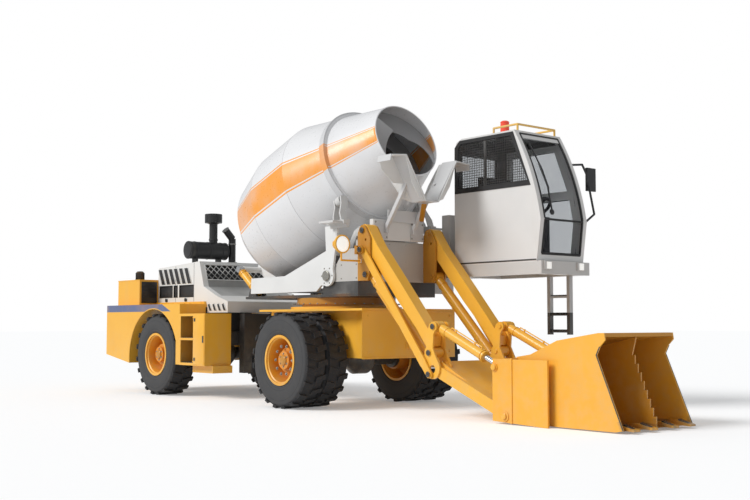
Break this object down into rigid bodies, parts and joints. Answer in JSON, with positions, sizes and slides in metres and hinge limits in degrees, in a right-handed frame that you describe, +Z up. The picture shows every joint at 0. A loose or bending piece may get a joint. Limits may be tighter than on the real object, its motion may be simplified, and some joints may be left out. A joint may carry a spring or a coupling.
{
  "type": "self-loading concrete mixer",
  "caption": "Articulated self-loading concrete mixer: a slewing platform carries the tilting drum, the cab and loader arms with a divided bucket.",
  "frame": {"origin": "on the ground below the middle of the whole machine's box", "axes": "+X forward along the machine's length, +Y left, +Z up"},
  "size_m": [9.115, 3.1099, 3.6352],
  "materials": {
    "orange_paint": "semi-gloss",
    "yellow_paint": "semi-gloss",
    "white_paint": "semi-gloss",
    "grey_paint": "semi-gloss",
    "dark_paint": "satin",
    "bare_steel": "satin",
    "chrome_rod": "polished",
    "tyre_rubber": "matte",
    "clear_glass": "polished",
    "black_plastic": "matte",
    "signal_plastic": "glossy"
  },
  "bodies": {
    "chassis": {"front_frame": "yellow_paint", "front_axle": "dark_paint"},
    "front_wheels_left": {"front_tyres_left": "tyre_rubber", "front_rims_left": "yellow_paint"},
    "front_wheels_right": {"front_tyres_right": "tyre_rubber", "front_rims_right": "yellow_paint"},
    "rear_module": {"rear_frame": "dark_paint", "rear_axle": "dark_paint", "rear_body": "orange_paint", "side_tanks": "orange_paint", "engine_hood": "white_paint", "engine_block": "dark_paint", "rear_box": "yellow_paint", "intake_and_exhaust": "dark_paint"},
    "rear_wheel_left": {"rear_tyre_left": "tyre_rubber", "rear_rim_left": "yellow_paint"},
    "rear_wheel_right": {"rear_tyre_right": "tyre_rubber", "rear_rim_right": "yellow_paint"},
    "turntable": {"platform": "yellow_paint", "tower": "white_paint", "arm_towers": "yellow_paint", "cab_bracket": "dark_paint", "cab_base": "grey_paint", "cab_shell": "white_paint", "cab_glass": "clear_glass", "cab_interior": "black_plastic", "beacon": "signal_plastic", "cab_ladder": "dark_paint", "side_mirror": "dark_paint", "work_lamp": "yellow_paint"},
    "cab_door": {"cab_door": "white_paint", "door_glass": "clear_glass"},
    "drum_cradle": {"cradle": "white_paint", "roller_brackets": "yellow_paint", "drum_gearbox": "dark_paint", "feed_hopper": "white_paint"},
    "drum": {"drum_shell": "white_paint", "drum_blades": "grey_paint"},
    "arms": {"loader_arms": "yellow_paint"},
    "link_bars": {"link_bars": "yellow_paint"},
    "front_arms": {"front_arms": "yellow_paint"},
    "bucket": {"bucket": "yellow_paint"},
    "lift_barrels": {"lift_cylinder_barrels": "yellow_paint"},
    "lift_rods": {"lift_cylinder_rods": "chrome_rod"},
    "tilt_barrels": {"tilt_cylinder_barrels": "yellow_paint"},
    "tilt_rods": {"tilt_cylinder_rods": "chrome_rod"},
    "drum_barrels": {"drum_cylinder_barrels": "orange_paint"},
    "drum_rods": {"drum_cylinder_rods": "chrome_rod"}
  },
  "joints": [
    {"name": "articulation_steer", "type": "hinge", "parent": "chassis", "child": "rear_module", "pos_m": [-1.3675, -0.34, 0.82], "axis": [0, 0, 1], "range_deg": [-35, 35]},
    {"name": "front_wheels_left_spin", "type": "hinge", "parent": "chassis", "child": "front_wheels_left", "pos_m": [0.0825, 0.56, 0.5625], "axis": [0, 1, 0], "continuous": true},
    {"name": "front_wheels_right_spin", "type": "hinge", "parent": "chassis", "child": "front_wheels_right", "pos_m": [0.0825, -1.24, 0.5625], "axis": [0, 1, 0], "continuous": true},
    {"name": "rear_wheel_left_spin", "type": "hinge", "parent": "rear_module", "child": "rear_wheel_left", "pos_m": [-3.0835, 0.56, 0.5625], "axis": [0, 1, 0], "continuous": true},
    {"name": "rear_wheel_right_spin", "type": "hinge", "parent": "rear_module", "child": "rear_wheel_right", "pos_m": [-3.0835, -1.24, 0.5625], "axis": [0, 1, 0], "continuous": true},
    {"name": "platform_slew", "type": "hinge", "parent": "chassis", "child": "turntable", "pos_m": [-0.1675, -0.34, 1.226], "axis": [0, 0, 1], "range_deg": [-90, 90]},
    {"name": "cab_door_hinge", "type": "hinge", "parent": "turntable", "child": "cab_door", "pos_m": [1.2125, 1.184, 2.4], "axis": [0, 0, 1], "range_deg": [0, 90]},
    {"name": "drum_tilt", "type": "hinge", "parent": "turntable", "child": "drum_cradle", "pos_m": [0.2725, -0.34, 1.56], "axis": [0, -1, 0], "range_deg": [-10, 0]},
    {"name": "drum_spin", "type": "hinge", "parent": "drum_cradle", "child": "drum", "pos_m": [0.9755, -0.34, 3.172], "axis": [0.9361, 0, 0.3518], "continuous": true},
    {"name": "arm_lift", "type": "hinge", "parent": "turntable", "child": "arms", "pos_m": [0.8975, -0.34, 2.067], "axis": [0, -1, 0], "range_deg": [0, 90]},
    {"name": "link_bar_swing", "type": "hinge", "parent": "turntable", "child": "link_bars", "pos_m": [0.9225, -0.34, 1.84], "axis": [0, -1, 0], "range_deg": [-1, 91]},
    {"name": "front_arm_level", "type": "hinge", "parent": "arms", "child": "front_arms", "pos_m": [2.0155, -0.34, 0.68], "axis": [0, 1, 0], "range_deg": [-1, 91]},
    {"name": "bucket_tilt", "type": "hinge", "parent": "front_arms", "child": "bucket", "pos_m": [3.1225, -0.34, 0.08], "axis": [0, 1, 0], "range_deg": [-8, 60]},
    {"name": "lift_barrel_swing", "type": "hinge", "parent": "turntable", "child": "lift_barrels", "pos_m": [0.9525, -0.34, 1.554], "axis": [0, -1, 0], "range_deg": [-1, 95.82]},
    {"name": "lift_rod_slide", "type": "slide", "parent": "lift_barrels", "child": "lift_rods", "axis": [0.7057, 0, -0.7085], "range_m": [-0.002, 0.5474]},
    {"name": "tilt_barrel_swing", "type": "hinge", "parent": "front_arms", "child": "tilt_barrels", "pos_m": [2.0795, -0.34, 0.96], "axis": [0, 1, 0], "range_deg": [-4.31, 1.44]},
    {"name": "tilt_rod_slide", "type": "slide", "parent": "tilt_barrels", "child": "tilt_rods", "axis": [0.9141, 0, -0.4056], "range_m": [-0.0676, 0.4943]},
    {"name": "drum_barrel_swing", "type": "hinge", "parent": "turntable", "child": "drum_barrels", "pos_m": [-1.4235, -0.34, 1.401], "axis": [0, -1, 0], "range_deg": [-25.95, 1]},
    {"name": "drum_rod_slide", "type": "slide", "parent": "drum_barrels", "child": "drum_rods", "axis": [-0.7984, 0, 0.6021], "range_m": [-0.002, 0.2469]}
  ],
  "couplings": [
    {"joint": "link_bar_swing", "follows": "arm_lift", "ratio": 1},
    {"joint": "front_arm_level", "follows": "arm_lift", "ratio": 1},
    {"joint": "lift_barrel_swing", "follows": "arm_lift", "ratio": 1.0535},
    {"joint": "lift_rod_slide", "follows": "arm_lift", "m_per_rad": 0.34724},
    {"joint": "tilt_barrel_swing", "follows": "bucket_tilt", "ratio": -0.05517},
    {"joint": "tilt_rod_slide", "follows": "bucket_tilt", "m_per_rad": 0.4701},
    {"joint": "drum_barrel_swing", "follows": "drum_tilt", "ratio": 2.4946},
    {"joint": "drum_rod_slide", "follows": "drum_tilt", "m_per_rad": -1.4029}
  ]
}
